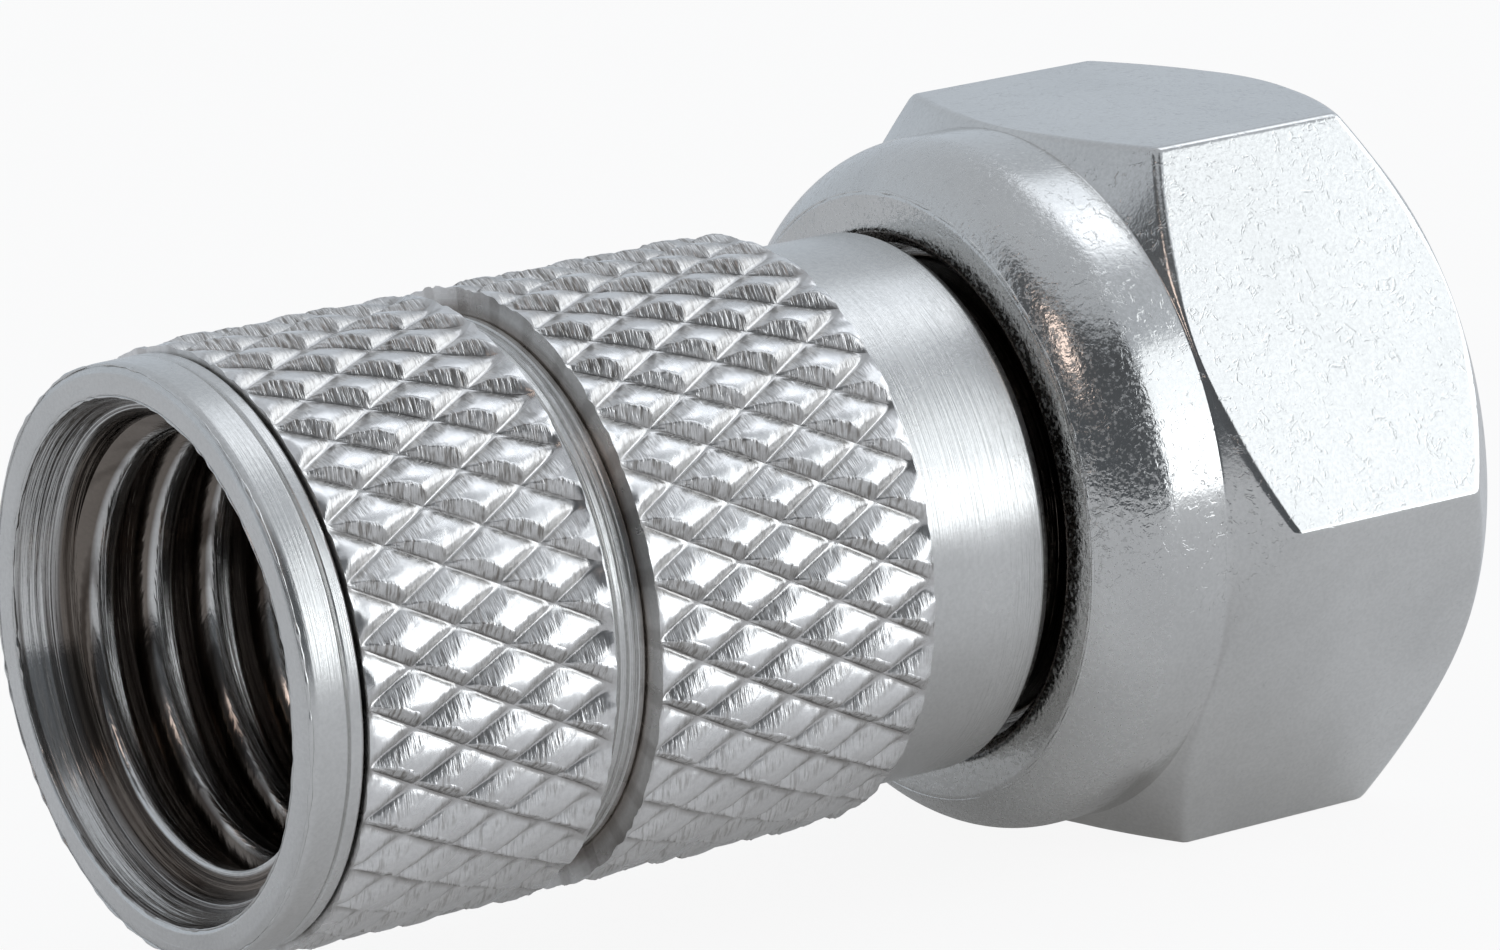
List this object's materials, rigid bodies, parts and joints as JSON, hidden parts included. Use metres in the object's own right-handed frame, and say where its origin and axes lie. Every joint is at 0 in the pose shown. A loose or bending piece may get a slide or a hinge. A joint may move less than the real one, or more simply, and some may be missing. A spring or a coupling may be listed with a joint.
{
  "type": "screw-on coaxial f connector",
  "caption": "Screw-on coaxial plug: knurled sleeve with a coarse cable thread inside, and a free-turning hexagonal coupling nut with a domed rear.",
  "frame": {"origin": "on the connector's axis, in the front face of the sleeve's flange, where the socket's face meets it", "axes": "+X along the axis out of the nut's open end, the cable leaves to -X, +Z out of one flat of the hexagon"},
  "size_m": [0.0207, 0.0126, 0.011],
  "materials": {
    "sleeve_nickel": "satin nickel plate over brass, knurled",
    "nut_nickel": "satin to bright nickel plate over brass"
  },
  "bodies": {
    "sleeve": {"sleeve_body": "sleeve_nickel"},
    "nut": {"coupling_nut": "nut_nickel"}
  },
  "joints": [
    {"name": "nut_spin", "type": "hinge", "parent": "sleeve", "child": "nut", "pos_m": [0, 0, 0], "axis": [1, 0, 0], "continuous": true}
  ]
}
